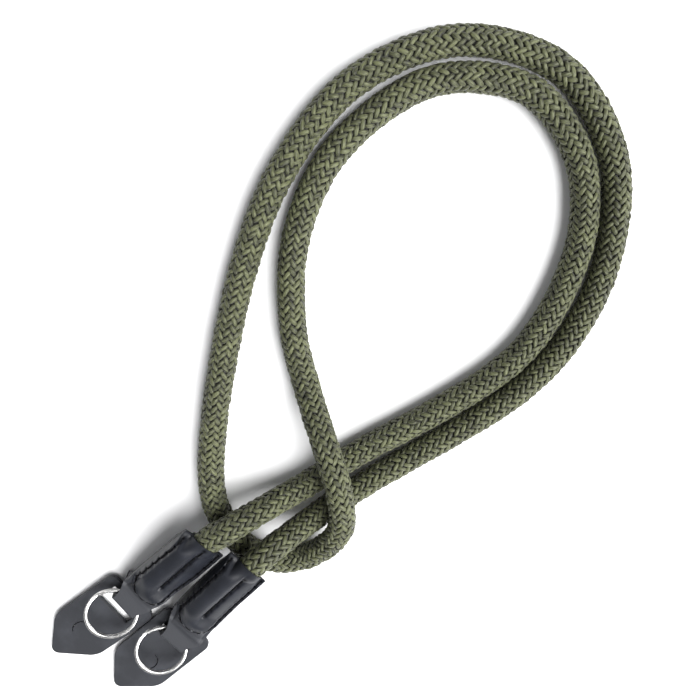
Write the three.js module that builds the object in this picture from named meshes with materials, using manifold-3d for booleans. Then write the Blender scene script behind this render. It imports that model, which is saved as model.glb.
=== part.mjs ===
// Camera neck strap: a braided rope folded once on itself, with a sewn leather sleeve on each end.
// Each sleeve ends in a leather loop that holds a split ring and a leather pad with a point.
// Millimetres, +Z up, lying on the plane z = 0. +X runs from the pads to the far bend of the rope.
import * as THREE from 'three';
import { mergeVertices } from 'three/addons/utils/BufferGeometryUtils.js';
import Module from 'manifold-3d';

const wasm = await Module();
wasm.setup();

// Driving dimensions
const ROPE_DIAMETER = 10;
const ROPE_SIDES = 12;
const ROPE_STEPS = 80;
const GAP = 0.35;               // clearance between pieces that touch on the real strap
const LEATHER = 1.3;            // one layer of sleeve leather
const TO_ORIGIN = [25.0, -0.64];

// Route of the rope's axis, from its end in the left sleeve to its end in the right one: x, y, z
const ROPE_ROUTE = [
  [-119.5, -0.4, 8.6], [-103.5, -1.6, 12.0], [-87.5, -2.8, 15.2], [-77.6, -6.0, 16.0], [-66.0, -10.9, 13.6],
  [-50.4, -19.2, 6.7], [-39.5, -23.2, 5.3], [-28.0, -27.0, 5.2], [38.6, -48.0, 5.1], [77.3, -39.2, 5.1],
  [95.6, -25.3, 5.1], [104.0, -11.6, 5.1], [106.5, 12.1, 5.1], [88.3, 38.1, 5.1], [51.9, 48.8, 5.1],
  [20.7, 41.6, 5.1], [-5.9, 21.9, 5.3], [-19.9, 3.9, 6.2], [-31.7, -14.9, 15.2], [-40.7, -28.0, 17.4],
  [-53.0, -38.8, 14.2], [-71.7, -39.7, 6.3], [-82.3, -31.2, 5.1], [-85.2, -20.4, 5.1], [-81.9, -4.8, 5.1],
  [-71.0, 9.1, 5.1], [-4.2, 46.8, 5.1], [36.0, 59.0, 5.1], [72.0, 57.8, 5.1], [103.0, 39.8, 5.1],
  [118.3, 7.2, 5.1], [109.5, -25.6, 5.1], [84.9, -47.9, 5.1], [57.4, -57.7, 5.1], [29.4, -57.8, 5.1],
  [-34.4, -37.6, 5.4], [-55.0, -31.6, 5.9], [-74.2, -23.4, 15.9], [-84.4, -21.3, 17.2], [-119.0, -20.8, 8.6],
];

// The two leather ends. fold is the outermost point of the loop on the ground, turn is the way the
// loop points and padTurn the way the pad points, both in degrees from +X. barBack is how far the
// pad's inner edge lies behind the fold. mouth is the sleeve's length along the rope. widths are the
// leather's edges on the two sides of the rope's axis, right then left for someone who looks along
// it towards the loop: first at the rear of the loop, then at each row of the sleeve.
const ENDS = [
  {
    side: 'left', fold: [-135.6, 4.1], turn: 165, padTurn: 166.5, barBack: 5.0, padShift: 0.6, mouth: 32.5,
    widths: [[8.8, 7.4], [9.7, 6.8], [10.1, 6.8], [10.0, 7.1], [9.6, 8.2], [8.7, 8.1]],
  },
  {
    side: 'right', fold: [-137.4, -20.5], turn: 171, padTurn: 171.6, barBack: 9.1, padShift: 1.35, mouth: 35.5,
    widths: [[8.8, 8.4], [9.3, 8.8], [9.5, 8.8], [9.7, 8.6], [9.6, 8.1], [9.4, 8.0]],
  },
];

// The loop, as rows from the fold back towards the rope: distance back and half width, which each
// end gives for itself at the rear
const LOOP_ROWS = [
  { back: 0.0, halfWidth: 5.7 },
  { back: 1.0, halfWidth: 5.9 },
  { back: 4.2, halfWidth: 5.9 },
  { back: 6.5, halfWidth: 7.0 },
  { back: 9.0 },
];
const LOOP_HALF_HEIGHT = 4.5;
const FOLD_ROUND = 2.0;         // how deep the fold is rounded, seen from the side
const FOLD_STEPS = 4;

// The sleeve over the rope, as rows from just past the rope's end to the mouth. along is the
// distance from the rope's end; the last row stands at the mouth.
const SLEEVE_ROWS = [
  { along: -2.2, flange: 2.2, crown: 5.4 },
  { along: 1.0, flange: 1.5, crown: 6.3 },
  { along: 5.0, flange: 1.3, crown: 6.6 },
  { along: 18.0, flange: 1.3, crown: 6.6 },
  { along: 'mouth', flange: 1.3, crown: 6.6 },
];
const CROWN_HALF_WIDTH = 7.0;
const SECTION_POINTS = 13;      // across the top of a section, and again across its underside

// Split ring: two turns of flat wire
const RING_RADIUS = 9.6;        // to the middle of the wire
const WIRE_WIDTH = 1.2;
const WIRE_HEIGHT = 0.86;
const TURN_PITCH = 0.92;
const RING_HALF_JOG = 28;       // degrees on each side of the place where the wire changes turn
const RING_STEPS = 66;
const RING_LIFT = 11;           // degrees the ring stands up from level
const PIVOT_BACK = 3.95;        // the ring's pivot in the loop, behind the fold and above the ground
const PIVOT_HEIGHT = 5.5;
const PIVOT_TO_CENTRE = 8.6;
const EYE_RADIUS = 2.35;        // room for the wire in the loop as the ring turns

// Pad
const PAD_LENGTH = 43.5;
const PAD_WIDTH = 24.8;
const PAD_THICKNESS = 1.5;
const PAD_POINT = 12.5;         // length of the pointed end
const PAD_CORNER = 3.2;
const PAD_BAR = 3.0;            // leather between the pad's inner edge and its slot
const SLOT_LENGTH = 15.6;
const SLOT_WIDTH = 8.2;
const SLOT_CORNER = 0.9;
const SLIT_FROM_EDGE = { left: 27.2, right: 24.8 };  // centre of the half-moon slit
const SLIT_RADIUS = 4.2;
const SLIT_WIDTH = 0.4;
const SLIT_ARC = { left: [-145, -30], right: [35, 175] };
const PAD_REST = 0.05;          // height of the pad's tip above the ground
const BAR_REST = 1.65;          // height of the pad's underside where the fold passes through it

const LEATHER_SMOOTH = { color: 0x232428, roughness: 0.45, metalness: 0 };
const LEATHER_MATT = { color: 0x303236, roughness: 0.7, metalness: 0 };
const BRAID = { color: 0x6b6a42, roughness: 0.9, metalness: 0 };
const NICKEL = { color: 0xd8d6cf, roughness: 0.2, metalness: 1 };

// Solids

function toManifold(geometry) {
  const bare = geometry.clone();
  bare.deleteAttribute('normal');
  bare.deleteAttribute('uv');
  const merged = mergeVertices(bare, 1e-4);
  return new wasm.Manifold(new wasm.Mesh({
    numProp: 3,
    vertProperties: new Float32Array(merged.attributes.position.array),
    triVerts: new Uint32Array(merged.index.array),
  }));
}

function toGeometry(solid) {
  const mesh = solid.getMesh();
  const geometry = new THREE.BufferGeometry();
  geometry.setAttribute('position', new THREE.BufferAttribute(mesh.vertProperties, 3));
  geometry.setIndex(new THREE.BufferAttribute(mesh.triVerts, 1));
  geometry.computeVertexNormals();
  return geometry;
}

// A skin over rows of points, closed at both ends by a fan about each row's centre
function loft(rows) {
  const count = rows[0].points.length;
  const positions = [];
  const index = [];
  for (const row of rows) {
    for (const point of row.points) positions.push(point.x, point.y, point.z);
  }
  for (let r = 0; r < rows.length - 1; r += 1) {
    for (let k = 0; k < count; k += 1) {
      const a = r * count + k;
      const b = r * count + ((k + 1) % count);
      index.push(a, b + count, b, a, a + count, b + count);
    }
  }
  const last = (rows.length - 1) * count;
  const first = positions.length / 3;
  const ends = [rows[0].centre, rows[rows.length - 1].centre];
  for (const end of ends) positions.push(end.x, end.y, end.z);
  for (let k = 0; k < count; k += 1) {
    const next = (k + 1) % count;
    index.push(first, k, next, first + 1, last + next, last + k);
  }
  const geometry = new THREE.BufferGeometry();
  geometry.setAttribute('position', new THREE.Float32BufferAttribute(positions, 3));
  geometry.setIndex(index);
  return geometry;
}

function addMesh(group, name, geometry, finish) {
  const mesh = new THREE.Mesh(geometry, new THREE.MeshStandardMaterial(finish));
  mesh.name = name;
  group.add(mesh);
  return mesh;
}

// Rope

function ropeCurve(extra) {
  const points = ROPE_ROUTE.map((p) => new THREE.Vector3(...p));
  const lengthen = (end, inner) => end.add(end.clone().sub(inner).setLength(extra));
  if (extra > 0) {
    lengthen(points[0], points[1].clone());
    lengthen(points[points.length - 1], points[points.length - 2].clone());
  }
  return new THREE.CatmullRomCurve3(points, false, 'centripetal');
}

function ropeTube(radius, extra) {
  const section = new THREE.Shape();
  for (let k = 0; k < ROPE_SIDES; k += 1) {
    const angle = (2 * Math.PI * k) / ROPE_SIDES;
    const corner = [radius * Math.cos(angle), radius * Math.sin(angle)];
    if (k === 0) section.moveTo(...corner);
    else section.lineTo(...corner);
  }
  section.closePath();
  const path = ropeCurve(extra);
  path.arcLengthDivisions = 4000;
  return new THREE.ExtrudeGeometry(section, { steps: ROPE_STEPS, bevelEnabled: false, extrudePath: path });
}

// Place and direction on the rope at a distance from the end that a sleeve covers
function onRope(side, distance) {
  const curve = ropeCurve(0);
  curve.arcLengthDivisions = 4000;
  const share = Math.max(distance, 0) / curve.getLength();
  const at = side === 'left' ? share : 1 - share;
  const point = curve.getPointAt(at);
  const tangent = curve.getTangentAt(at);
  if (side === 'left') tangent.negate();
  if (distance < 0) point.addScaledVector(tangent, -distance);
  return { point, tangent };
}

// Sleeve and loop

// One section across the strap: point is on its axis, ahead the way towards the fold
function section(point, ahead, row) {
  const left = new THREE.Vector3(-ahead.y, ahead.x, 0).normalize();
  const up = new THREE.Vector3().crossVectors(ahead, left);
  const place = (across, height) => point.clone().addScaledVector(left, across).addScaledVector(up, height);
  const middle = (row.widths[1] - row.widths[0]) / 2;
  const halfWidth = (row.widths[0] + row.widths[1]) / 2;
  const points = [];
  for (const face of [1, -1]) {
    for (let k = 0; k < SECTION_POINTS; k += 1) {
      const across = middle + face * halfWidth * Math.cos((Math.PI * k) / (SECTION_POINTS - 1));
      const share = Math.min(1, Math.abs(across) / CROWN_HALF_WIDTH);
      const height = row.flange + (row.crown - row.flange) * Math.sqrt(1 - share * share);
      points.push(place(across, face * height));
    }
  }
  return { points, centre: point };
}

function loopWidths(end, back) {
  const after = Math.max(1, LOOP_ROWS.findIndex((row) => row.back >= back));
  const [a, b] = [LOOP_ROWS[after - 1], LOOP_ROWS[after]];
  return end.widths[0].map((rear) => THREE.MathUtils.mapLinear(
    back, a.back, b.back, a.halfWidth ?? rear, b.halfWidth ?? rear));
}

function loopFrame(end) {
  const turn = THREE.MathUtils.degToRad(end.turn);
  return {
    fold: new THREE.Vector3(end.fold[0], end.fold[1], 0),
    ahead: new THREE.Vector3(Math.cos(turn), Math.sin(turn), 0),
  };
}

function sleeve(end) {
  const { fold, ahead } = loopFrame(end);
  const loopSection = (back, halfHeight) => section(
    fold.clone().addScaledVector(ahead, -back).setZ(LOOP_HALF_HEIGHT),
    ahead,
    { widths: loopWidths(end, back), flange: halfHeight, crown: halfHeight },
  );
  const rows = [];
  for (let k = 0; k < FOLD_STEPS; k += 1) {
    const angle = (Math.PI / 2) * ((k + 0.6) / (FOLD_STEPS + 0.6));
    rows.push(loopSection(FOLD_ROUND * (1 - Math.cos(angle)), LOOP_HALF_HEIGHT * Math.sin(angle)));
  }
  for (const { back } of LOOP_ROWS.filter((row) => row.back > FOLD_ROUND)) {
    rows.push(loopSection(back, LOOP_HALF_HEIGHT));
  }
  SLEEVE_ROWS.forEach((row, k) => {
    const place = onRope(end.side, row.along === 'mouth' ? end.mouth : row.along);
    rows.push(section(place.point, place.tangent, { ...row, widths: end.widths[k + 1] }));
  });
  return toManifold(loft(rows)).subtract(loopVoid(end)).subtract(ropeRoom());
}

// The open inside of the loop, seen from the side and cut straight across: the round eye that the
// ring turns in, over the flat room for the pad's bar
function loopVoid(end) {
  const frontBack = LEATHER + 0.1;
  const rearBack = 10.6;
  const top = PIVOT_HEIGHT + EYE_RADIUS;
  const outline = new THREE.Shape();
  outline.moveTo(frontBack, LEATHER);
  outline.lineTo(rearBack, LEATHER);
  outline.lineTo(rearBack, top - 1);
  outline.lineTo(rearBack - 1.6, top);
  outline.lineTo(PIVOT_BACK, top);
  outline.absarc(PIVOT_BACK, PIVOT_HEIGHT, EYE_RADIUS, Math.PI / 2, Math.PI, false);
  outline.lineTo(frontBack, PIVOT_HEIGHT - 2);
  outline.closePath();
  const width = 40;
  const prism = new THREE.ExtrudeGeometry(outline, { depth: width, bevelEnabled: false, curveSegments: 8 });
  const { fold, ahead } = loopFrame(end);
  const back = ahead.clone().negate();
  const up = new THREE.Vector3(0, 0, 1);
  const across = new THREE.Vector3().crossVectors(back, up);
  const basis = new THREE.Matrix4().makeBasis(back, up, across);
  basis.setPosition(fold.clone().addScaledVector(across, -width / 2));
  return toManifold(prism.applyMatrix4(basis));
}

let room = null;
function ropeRoom() {
  room ??= toManifold(ropeTube(ROPE_DIAMETER / 2 + GAP, GAP));
  return room;
}

// Split ring

function ringTurns() {
  const rows = [];
  const start = RING_HALF_JOG + 4;
  const stop = 720 - start;
  for (let k = 0; k <= RING_STEPS; k += 1) {
    const degrees = THREE.MathUtils.mapLinear(k, 0, RING_STEPS, start, stop);
    const rise = THREE.MathUtils.smoothstep(degrees, 360 - RING_HALF_JOG, 360 + RING_HALF_JOG);
    const z = TURN_PITCH * (rise - 0.5);
    const angle = THREE.MathUtils.degToRad(degrees);
    const outward = new THREE.Vector3(Math.cos(angle), Math.sin(angle), 0);
    const centre = outward.clone().multiplyScalar(RING_RADIUS).setZ(z);
    const corners = [[1, -1], [1, 1], [-1, 1], [-1, -1]];
    const points = corners.map(([side, face]) => centre.clone()
      .addScaledVector(outward, (side * WIRE_WIDTH) / 2)
      .setZ(z + (face * WIRE_HEIGHT) / 2));
    rows.push({ points, centre });
  }
  return loft(rows);
}

// Pad

function padOutline(side) {
  const half = PAD_WIDTH / 2;
  const shoulder = PAD_LENGTH - PAD_POINT;
  const corners = [[0, -half], [shoulder, -half], [PAD_LENGTH + 1.2, 0], [shoulder, half], [0, half]]
    .map(([x, y]) => new THREE.Vector2(x, y));
  const outline = new THREE.Shape();
  corners.forEach((corner, k) => {
    const before = corners[(k + corners.length - 1) % corners.length];
    const after = corners[(k + 1) % corners.length];
    const enter = corner.clone().add(before.clone().sub(corner).setLength(PAD_CORNER));
    const leave = corner.clone().add(after.clone().sub(corner).setLength(PAD_CORNER));
    if (k === 0) outline.moveTo(enter.x, enter.y);
    else outline.lineTo(enter.x, enter.y);
    outline.quadraticCurveTo(corner.x, corner.y, leave.x, leave.y);
  });
  outline.closePath();
  outline.holes.push(slotHole(), slitHole(side));
  return outline;
}

function slotHole() {
  const [x0, x1] = [PAD_BAR, PAD_BAR + SLOT_WIDTH];
  const y = SLOT_LENGTH / 2;
  const hole = new THREE.Path();
  hole.absarc(x0 + SLOT_CORNER, SLOT_CORNER - y, SLOT_CORNER, Math.PI, 1.5 * Math.PI, false);
  hole.absarc(x1 - SLOT_CORNER, SLOT_CORNER - y, SLOT_CORNER, 1.5 * Math.PI, 2 * Math.PI, false);
  hole.absarc(x1 - SLOT_CORNER, y - SLOT_CORNER, SLOT_CORNER, 0, 0.5 * Math.PI, false);
  hole.absarc(x0 + SLOT_CORNER, y - SLOT_CORNER, SLOT_CORNER, 0.5 * Math.PI, Math.PI, false);
  hole.closePath();
  return hole;
}

function slitHole(side) {
  const [from, to] = SLIT_ARC[side].map(THREE.MathUtils.degToRad);
  const hole = new THREE.Path();
  hole.absarc(SLIT_FROM_EDGE[side], 0, SLIT_RADIUS + SLIT_WIDTH / 2, from, to, false);
  hole.absarc(SLIT_FROM_EDGE[side], 0, SLIT_RADIUS - SLIT_WIDTH / 2, to, from, true);
  hole.closePath();
  return hole;
}

// The strap

const strap = new THREE.Group();
strap.position.set(TO_ORIGIN[0], TO_ORIGIN[1], 0);

addMesh(strap, 'rope', ropeTube(ROPE_DIAMETER / 2, 0), BRAID);

for (const end of ENDS) {
  const { fold, ahead } = loopFrame(end);
  addMesh(strap, `sleeve_${end.side}`, toGeometry(sleeve(end)), LEATHER_SMOOTH);

  const padTurn = THREE.MathUtils.degToRad(end.padTurn);
  const padAhead = new THREE.Vector3(Math.cos(padTurn), Math.sin(padTurn), 0);
  const padLeft = new THREE.Vector3(-padAhead.y, padAhead.x, 0);
  const padSlope = Math.asin((BAR_REST - PAD_REST) / (PAD_LENGTH - end.barBack));
  const padStart = fold.clone().addScaledVector(padAhead, -end.barBack).addScaledVector(padLeft, end.padShift);
  const padBody = new THREE.ExtrudeGeometry(padOutline(end.side), {
    depth: PAD_THICKNESS, bevelEnabled: false, curveSegments: 6,
  });
  const pad = addMesh(strap, `pad_${end.side}`, padBody, LEATHER_MATT);
  pad.position.copy(padStart).setZ(PAD_REST + PAD_LENGTH * Math.sin(padSlope));
  pad.rotation.set(0, padSlope, padTurn, 'ZYX');

  const ringHolder = new THREE.Group();
  ringHolder.position.copy(fold).addScaledVector(ahead, -PIVOT_BACK).setZ(PIVOT_HEIGHT);
  ringHolder.rotation.set(0, -THREE.MathUtils.degToRad(RING_LIFT), THREE.MathUtils.degToRad(end.turn), 'ZYX');
  const ring = addMesh(ringHolder, `ring_${end.side}`, ringTurns(), NICKEL);
  ring.position.set(PIVOT_TO_CENTRE, 0, 0);
  ring.rotation.z = THREE.MathUtils.degToRad(-70);
  strap.add(ringHolder);
}

export default strap;
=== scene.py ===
import math

import bmesh
import bpy
import numpy as np
from bpy.props import FloatProperty, FloatVectorProperty, IntProperty, PointerProperty
from mathutils import Matrix, Vector


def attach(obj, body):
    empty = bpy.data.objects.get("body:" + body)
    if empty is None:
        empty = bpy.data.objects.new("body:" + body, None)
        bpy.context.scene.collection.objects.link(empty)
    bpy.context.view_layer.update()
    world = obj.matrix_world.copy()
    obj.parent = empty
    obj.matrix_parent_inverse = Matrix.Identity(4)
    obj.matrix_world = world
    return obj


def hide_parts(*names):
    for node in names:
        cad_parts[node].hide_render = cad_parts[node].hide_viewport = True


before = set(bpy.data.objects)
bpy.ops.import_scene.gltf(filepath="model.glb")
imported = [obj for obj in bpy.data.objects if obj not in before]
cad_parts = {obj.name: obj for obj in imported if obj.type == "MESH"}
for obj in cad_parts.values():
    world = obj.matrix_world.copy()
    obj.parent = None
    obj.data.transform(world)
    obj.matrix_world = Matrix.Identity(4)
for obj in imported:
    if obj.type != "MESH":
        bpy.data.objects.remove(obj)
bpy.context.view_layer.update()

bl_info = {
    "name": "Camera neck strap",
    "version": (1, 0, 0),
    "blender": (4, 5, 0),
    "location": "View3D > Sidebar > Strap",
    "description": "A braided rope neck strap with sewn leather ends, guard pads and split rings",
    "category": "Object",
}

MM = 0.001
STRAP_BODY = "strap"
SIDES = ("left", "right")

# Added to the places below, which were measured from another zero, to reach the shared frame's zero
TO_ORIGIN = np.array([0.0250, -0.00064, 0.0])

# The rope's axis, from its end in the left sleeve to its end in the right one
ROPE_ROUTE = [
    (-0.1195, -0.0004, 0.0086), (-0.1035, -0.0016, 0.0120), (-0.0875, -0.0028, 0.0152),
    (-0.0776, -0.0060, 0.0160), (-0.0660, -0.0109, 0.0136), (-0.0504, -0.0192, 0.0067),
    (-0.0395, -0.0232, 0.0053), (-0.0280, -0.0270, 0.0052), (0.0386, -0.0480, 0.0051),
    (0.0773, -0.0392, 0.0051), (0.0956, -0.0253, 0.0051), (0.1040, -0.0116, 0.0051),
    (0.1065, 0.0121, 0.0051), (0.0883, 0.0381, 0.0051), (0.0519, 0.0488, 0.0051),
    (0.0207, 0.0416, 0.0051), (-0.0059, 0.0219, 0.0053), (-0.0199, 0.0039, 0.0062),
    (-0.0317, -0.0149, 0.0152), (-0.0407, -0.0280, 0.0174), (-0.0530, -0.0388, 0.0142),
    (-0.0717, -0.0397, 0.0063), (-0.0823, -0.0312, 0.0051), (-0.0852, -0.0204, 0.0051),
    (-0.0819, -0.0048, 0.0051), (-0.0710, 0.0091, 0.0051), (-0.0042, 0.0468, 0.0051),
    (0.0360, 0.0590, 0.0051), (0.0720, 0.0578, 0.0051), (0.1030, 0.0398, 0.0051),
    (0.1183, 0.0072, 0.0051), (0.1095, -0.0256, 0.0051), (0.0849, -0.0479, 0.0051),
    (0.0574, -0.0577, 0.0051), (0.0294, -0.0578, 0.0051), (-0.0344, -0.0376, 0.0054),
    (-0.0550, -0.0316, 0.0059), (-0.0742, -0.0234, 0.0159), (-0.0844, -0.0213, 0.0172),
    (-0.1190, -0.0208, 0.0086),
]
ROPE_DIAMETER = 0.010
ROPE_END_CUT = 0.008        # the drawn rope stops this far short of its end, hidden in the sleeve
CORE_RADIUS = 0.0041
CORE_SIDES = 24
CORE_STEP = 0.002

# How the rope swells just outside a sleeve and is pinched at its mouth and further in: the share of
# its thickness, and over what length
SWELL, SWELL_AT, SWELL_REACH = 0.04, 0.006, 0.005
PINCH_AT_MOUTH, PINCH_AT_MOUTH_REACH = 0.05, 0.002
PINCH_INSIDE, PINCH_INSIDE_REACH = 0.33, 0.006

# One stitch of the braid, by shares of its half length along it and of its height over the core
STITCH_RINGS = (-0.86, -0.48, 0.0, 0.48, 0.86)
STITCH_SPOKES = (0, 38, 90, 142, 180, 235, 305)
STITCH_PLUMPNESS = 2.6
STITCH_OVERLAP = 1.17       # length by the stretch of its strand across one column
STITCH_WIDTH = 0.57         # half width by the width of a column
STITCH_LEAN = 0.09          # how much more than its strand a stitch leans, in radians
STITCH_UNDERSIDE = 0.3
STITCH_SINK = 0.35
STITCH_PROUD = 0.0001       # how far the stitches stand out past the rope's stated diameter
STITCH_PHASES = {1: 0.25, -1: 0.75}
COLUMN_PHASE = 0.25
SIZE_VARIES = 0.045
LEAN_VARIES = 0.055
HEIGHT_VARIES = 0.00008
PLACE_VARIES = 0.00009
FIRST_SEED = 11

# The leather ends: fold is the outermost point of the loop on the ground, turn is the way the loop
# points and pad_turn the way the pad points, in degrees from +X. widths are the leather's edges on
# the two sides of the axis, at the rear of the loop and then at each row of the sleeve.
ENDS = {
    "left": {
        "fold": (-0.1356, 0.0041), "turn": 165, "pad_turn": 166.5, "bar_back": 0.0050,
        "pad_shift": 0.0006, "mouth": 0.0325, "slit": (-145, -30), "slit_at": 0.0272,
        "widths": [(0.0088, 0.0074), (0.0097, 0.0068), (0.0101, 0.0068), (0.0100, 0.0071),
                   (0.0096, 0.0082), (0.0087, 0.0081)]},
    "right": {
        "fold": (-0.1374, -0.0205), "turn": 171, "pad_turn": 171.6, "bar_back": 0.0091,
        "pad_shift": 0.00135, "mouth": 0.0355, "slit": (35, 175), "slit_at": 0.0248,
        "widths": [(0.0088, 0.0084), (0.0093, 0.0088), (0.0095, 0.0088), (0.0097, 0.0086),
                   (0.0096, 0.0081), (0.0094, 0.0080)]},
}

# Sleeve sections from the fold to the mouth: back is measured from the fold, along from the rope's end
LOOP_ROWS = [
    {"back": 0.0000, "half_width": 0.0057},
    {"back": 0.0010, "half_width": 0.0059},
    {"back": 0.0042, "half_width": 0.0059},
    {"back": 0.0065, "half_width": 0.0070},
    {"back": 0.0090},
]
SLEEVE_ROWS = [
    {"along": -0.0022, "flange": 0.0022, "crown": 0.0054},
    {"along": 0.0010, "flange": 0.0015, "crown": 0.0063},
    {"along": 0.0050, "flange": 0.0013, "crown": 0.0066},
    {"along": 0.0180, "flange": 0.0013, "crown": 0.0066},
    {"along": None, "flange": 0.0013, "crown": 0.0066},
]
LOOP_HALF_HEIGHT = 0.0045
BULGE_SHIFT = -0.0040       # the sewn bulge lies to one side of the rope's axis
INNER_ROW = 0.0045          # from the middle of the bulge to the stitches beside it
INNER_ROW_START = 0.0070    # from the rope's end to the first of those stitches
HOLE_RADIUS = 0.0009        # of the dark mark painted at a needle hole, partly the thread in it and partly painted shade in the hole
HOLE_DEPTH, HOLE_WIDTH = 0.0010, 0.00062
OUTER_ROW = 0.0014          # from the sleeve's edge to the stitches along it
INNER_ROW_END, OUTER_ROW_END = 0.0010, 0.0012   # where the rows stop, short of the mouth
ROW_STEP = 0.0001
NOSE_AT = -0.0050           # the tip of the sleeve's round end, from the rope's end
NOSE_LENGTH = 0.0082
STEP_DOWN = 0.0007          # from the sleeve's round end down to the strip under it
STEP_WIDTH = 0.0003
SEWN_FROM, SEWN_REACH = -0.0097, 0.0030     # where the loop's plain strip turns into sewn leather
DOME_HALF_WIDTH = 0.0072
BULGE_HALF_WIDTH = 0.0059
BULGE_RISE = 0.0002
BULGE_FROM, BULGE_REACH = -0.0010, 0.0080   # where the plain dome turns into the sewn bulge
SHOULDER_DROP = 0.0021      # from the top of the bulge down to the leather beside it
SHOULDER_CURVE = 0.8
GROOVE_WIDTH = 0.00065
GROOVE_RUN_IN = 0.0020
ROW_DEPTH, ROW_WIDTH = 0.00042, 0.0004      # the channel that the edge stitches lie in
WELT_HEIGHT, WELT_AT, WELT_WIDTH = 0.00014, 0.0008, 0.0004
EDGE_DROP, EDGE_WIDTH = 0.00022, 0.0004
LEAST_HEIGHT = 0.0004
MOUTH_SKEW = {"left": 0.20, "right": 0.0}
MOUTH_LEAN = 0.45           # the mouth's upper edge reaches past its lower edge
FOLD_ROUND = 0.0020
LEATHER = 0.0013
BORE_AT_MOUTH = 0.0050
BORE_INSIDE = 0.0034
BORE_TAPER = 0.0055
BORE_WALL = 0.00055         # least leather over the rope
BORE_START, BORE_STEP, BORE_SIDES = 0.0004, 0.001, 40
MOUTH_LEATHER = 0.0007      # the leather is pared thin at the mouth
MOUTH_FLANGE = 0.0009
PARED_LENGTH = 0.0075
SLANT_FROM = 0.012
SLEEVE_STEP = 0.00025
SLEEVE_COLUMNS = 77
EASED_STEPS = 8             # rows on each side that a row is averaged with
FACE_INSET = 0.00012
# The edge's rounding: how far in from the edge, and the share of the height beside it
RIM = ((0.00003, 0.75), (0.0, 0.16), (0.00032, 0.0), (0.0, -0.16), (0.00003, -0.75))

# The ring's pivot in the loop, from the fold and from the ground, and the round eye it swings in
PIVOT_BACK = 0.00395
PIVOT_HEIGHT = 0.0055
EYE_RADIUS = 0.00235
VOID_REAR = 0.0106          # rear of the loop's open inside, from the fold
VOID_SLOPE = (0.0016, 0.001)
VOID_CORNER = 0.002
CUTTER_REACH = 0.02

# Thread
THREAD_RADIUS = 0.0004
THREAD_RINGS, THREAD_SPOKES = 7, 8
THREAD_LIFT, THREAD_DIP = 0.00024, 0.0005
THREAD_SHARE = 0.40         # half of a stitch that shows, by the stitch's length
THREAD_TAPER = 0.75         # how much of its thickness a stitch loses at its ends
THREAD_FLATNESS = 0.75      # height by width
THREAD_FOLLOWS = 0.35       # how closely a stitch follows the leather's dips under it

# Split ring
RING_RADIUS = 0.0096
WIRE_WIDTH = 0.0012
WIRE_HEIGHT = 0.00086
WIRE_CORNER = 0.00026
TURN_PITCH = 0.00092
RING_STEPS = 288
RING_HALF_JOG = 28          # half of the stretch where the wire crosses over, in degrees
RING_END_GAP = 4            # from there to the wire's ends
RING_LIFT = 11
PIVOT_TO_CENTRE = 0.0086
RING_TURN = -70

# Pad
PAD_LENGTH = 0.0435
PAD_WIDTH = 0.0248
PAD_THICKNESS = 0.0015
PAD_POINT = 0.0125
PAD_POINT_CUT = 0.0012      # what the rounding takes off the point
PAD_CORNER = 0.0032
PAD_BAR = 0.0030
SLOT_LENGTH = 0.0156
SLOT_WIDTH = 0.0082
SLOT_CORNER = 0.0009
SLIT_RADIUS = 0.0042
SLIT_WIDTH = 0.0004
SLIT_HEIGHTS = (-0.002, 0.004)      # of the wall that cuts it, past both faces
SLOT_BLOCK = 0.01                   # height of the block that cuts the slot
PAD_REST = 0.00005          # height of the pad's underside at its point
BAR_REST = 0.00165          # and at its bar, which lies on the loop

# Camera, as a place, what it looks at and the way across the picture
CAMERA_AT = (0.0645, 0.04726, 0.2318)
CAMERA_TO = (0.0250, -0.00064, 0.0)
PICTURE_RIGHT = (0.642, -0.765, 0.049)
CAMERA_LENS = 33.43

# Floor, lights and sky
FLOOR_SIZE = 30
FLOOR_HEIGHT = -0.00005
KEY = {"place": (0.16, -0.42, 0.58), "energy": 8.0, "spread": 62}
FILL = {"place": (-0.30, 0.35, 0.70), "energy": 0.6, "size": 0.80}
SKY_LOW = (0.60, 0.61, 0.63, 1.0)
SKY_HIGH = (0.97, 0.98, 1.0, 1.0)
SKY_STRENGTH = 0.26


# Sizes and colours that a user would change

class StrapSizes(bpy.types.PropertyGroup):
    columns: IntProperty(
        name="Braid columns", description="Columns of stitches round the rope, an even number",
        default=14, min=8, max=24)
    pitch: FloatProperty(
        name="Stitch pitch", description="Distance from one stitch to the next along a column",
        default=0.0029, subtype="DISTANCE", unit="LENGTH")
    yarn_height: FloatProperty(
        name="Yarn height", description="How far a stitch stands out of the rope's core",
        default=0.00068, subtype="DISTANCE", unit="LENGTH")
    groove: FloatProperty(
        name="Groove depth", description="Depth of the sewn groove in the sleeves",
        default=0.0010, subtype="DISTANCE", unit="LENGTH")
    stitch: FloatProperty(
        name="Leather stitch", description="Distance from one sewn stitch to the next in the sleeves",
        default=0.0040, subtype="DISTANCE", unit="LENGTH")
    edge: FloatProperty(
        name="Pad edge", description="Rounding of the pads' cut edges",
        default=0.00028, subtype="DISTANCE", unit="LENGTH")


def colour_property(name, description, default):
    return FloatVectorProperty(
        name=name, description=description, subtype="COLOR", size=3, min=0, max=1, default=default)


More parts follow.
